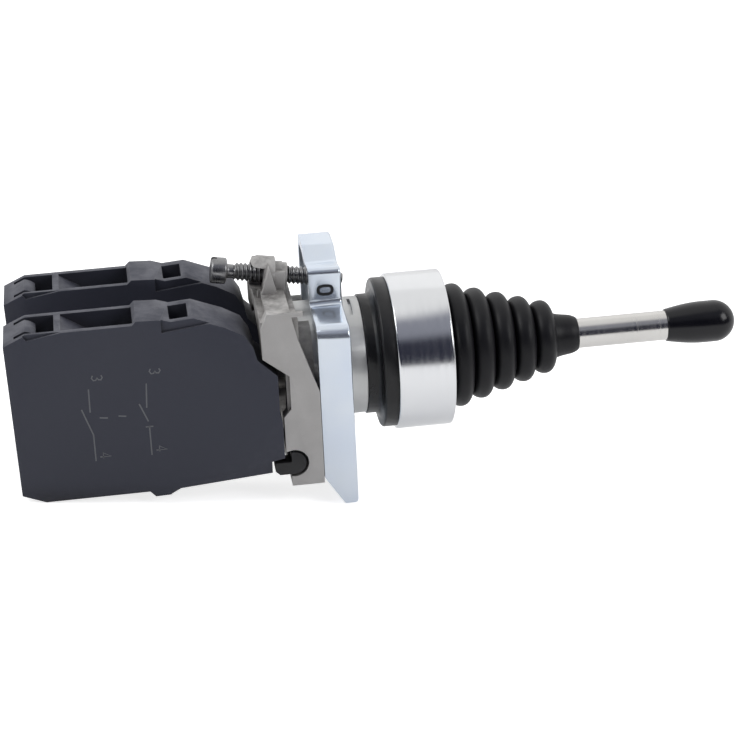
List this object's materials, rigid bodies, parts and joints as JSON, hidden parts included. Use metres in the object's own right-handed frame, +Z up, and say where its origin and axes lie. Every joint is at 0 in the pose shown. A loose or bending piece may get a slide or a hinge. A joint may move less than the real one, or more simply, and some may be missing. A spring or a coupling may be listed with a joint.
{
  "type": "industrial joystick",
  "caption": "Four-way industrial joystick on a round metal head, with rubber bellows, black knob, clamping collar and plug-in contact blocks behind the panel",
  "frame": {"origin": "on the lever's rest axis, in the plane where the gasket meets the front of the panel", "axes": "+X along the lever towards the operator, +Z up, towards the raised tab of the clamping plate, +Y to the operator's left"},
  "size_m": [0.1379, 0.03, 0.0454],
  "materials": {
    "black_resin": "moulded, satin",
    "gasket_rubber": "smooth, slight sheen",
    "chrome": "polished plating",
    "boot_rubber": "matte moulded bellows",
    "polished_steel": "turned and polished",
    "steel": "turned, plain",
    "knob_gloss": "high gloss",
    "spring_steel": "drawn square wire and thin strip",
    "white_resin": "natural, satin",
    "zinc_plate": "bright zinc, pale blue",
    "cast_zinc": "die cast, matte warm grey",
    "neck_zinc": "die cast and plated, satin",
    "screw_steel": "dull, with dark thread",
    "block_resin": "moulded slate grey",
    "contact_brass": "stamped strip",
    "screw_zinc": "zinc plated"
  },
  "bodies": {
    "base": {"head_body": "neck_zinc", "panel_gasket": "gasket_rubber", "bezel_ring": "chrome", "boot_lower": "boot_rubber", "spring_seat": "black_resin", "centring_spring": "spring_steel", "clamp_plate": "zinc_plate", "clamp_collar": "cast_zinc", "near_block_housing": "block_resin", "near_block_cover": "block_resin", "near_fixed_contacts": "contact_brass", "near_terminal_screws": "screw_zinc", "far_block_housing": "block_resin", "far_block_cover": "block_resin", "far_fixed_contacts": "contact_brass", "far_terminal_screws": "screw_zinc"},
    "cradle": {"gimbal_ring": "cast_zinc", "gimbal_trunnions": "steel"},
    "lever": {"lever_rod": "polished_steel", "lever_hub": "steel", "lever_pin": "steel", "lever_knob": "knob_gloss", "boot_upper": "boot_rubber"},
    "bail": {"slotted_bail": "steel", "bail_trunnions": "steel"},
    "near_slide": {"push_rod_near": "white_resin", "near_carriage": "white_resin", "near_bridges": "contact_brass", "near_bridge_springs": "spring_steel"},
    "far_slide": {"push_rod_far": "white_resin", "far_carriage": "white_resin", "far_bridges": "contact_brass", "far_bridge_springs": "spring_steel"},
    "screw": {"clamp_screw": "screw_steel"},
    "lock": {"lock_lever": "black_resin"}
  },
  "joints": [
    {"name": "tilt_up_down", "type": "hinge", "parent": "base", "child": "cradle", "pos_m": [0.007, 0, 0], "axis": [0, 1, 0], "range_deg": [-15, 15], "stiffness_Nm_per_rad": 0.6, "deforming": ["boot_lower", "centring_spring"]},
    {"name": "tilt_left_right", "type": "hinge", "parent": "cradle", "child": "lever", "pos_m": [0.007, 0, 0], "axis": [0, 0, 1], "range_deg": [-15, 15], "stiffness_Nm_per_rad": 0.6, "deforming": ["boot_upper"]},
    {"name": "bail_turn", "type": "hinge", "parent": "base", "child": "bail", "pos_m": [0.007, 0, 0], "axis": [0, 0, 1], "range_deg": [-15.2, 15.2]},
    {"name": "near_slide_travel", "type": "slide", "parent": "base", "child": "near_slide", "axis": [1, 0, 0], "range_m": [-0.00165, 0.00165]},
    {"name": "far_slide_travel", "type": "slide", "parent": "base", "child": "far_slide", "axis": [1, 0, 0], "range_m": [-0.00165, 0.00165]},
    {"name": "clamp_screw_turn", "type": "hinge", "parent": "base", "child": "screw", "pos_m": [-0.0283, 0.001, 0.01896], "axis": [0.9872, 0, -0.1592], "continuous": true},
    {"name": "lock_lever_turn", "type": "hinge", "parent": "base", "child": "lock", "pos_m": [-0.0176, 0, -0.0142], "axis": [0, 1, 0], "range_deg": [-20, 0]}
  ],
  "couplings": [
    {"joint": "bail_turn", "follows": "tilt_left_right", "ratio": 1},
    {"joint": "near_slide_travel", "follows": "tilt_up_down", "m_per_rad": -0.0062},
    {"joint": "far_slide_travel", "follows": "tilt_left_right", "m_per_rad": -0.0062}
  ]
}
